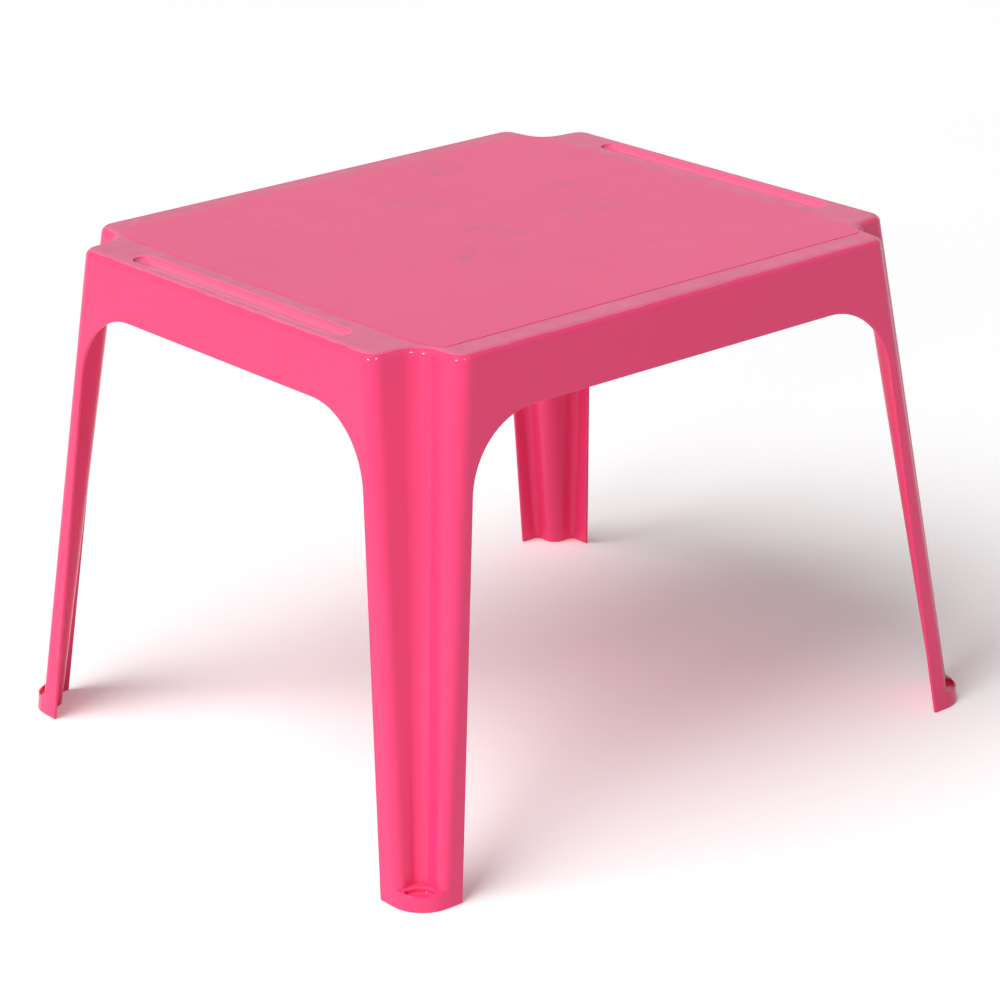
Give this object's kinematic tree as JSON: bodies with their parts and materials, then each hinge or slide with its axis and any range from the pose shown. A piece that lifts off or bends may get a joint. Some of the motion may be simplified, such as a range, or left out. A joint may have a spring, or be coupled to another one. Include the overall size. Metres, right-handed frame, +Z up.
{
  "type": "child table",
  "caption": "Low stackable child's table moulded in pink plastic, with a rounded rim, a flat top, pen trays along the ends and splayed fluted legs.",
  "frame": {"origin": "on the floor, under the middle of the table", "axes": "+X along the long side, towards the right pen tray; +Y towards the back; +Z up"},
  "size_m": [0.65, 0.58, 0.45],
  "materials": {
    "gloss_shell": "smooth moulded polypropylene, soft gloss",
    "satin_panel": "satin moulded polypropylene, lightly scuffed",
    "frosted_border": "finely frosted moulded polypropylene",
    "underside": "smooth moulded polypropylene"
  },
  "bodies": {
    "root": {"leg_front_left": "gloss_shell", "leg_front_right": "gloss_shell", "leg_back_left": "gloss_shell", "leg_back_right": "gloss_shell", "toe_front_left": "gloss_shell", "toe_front_right": "gloss_shell", "toe_back_left": "gloss_shell", "toe_back_right": "gloss_shell", "apron_front": "gloss_shell", "apron_back": "gloss_shell", "apron_left": "gloss_shell", "apron_right": "gloss_shell", "pen_tray_left": "gloss_shell", "pen_tray_right": "gloss_shell", "top_panel": "satin_panel", "top_border": "frosted_border", "rib_long_front": "underside", "rib_long_middle": "underside", "rib_long_back": "underside", "rib_cross_left": "underside", "rib_cross_middle": "underside", "rib_cross_right": "underside"}
  },
  "joints": []
}
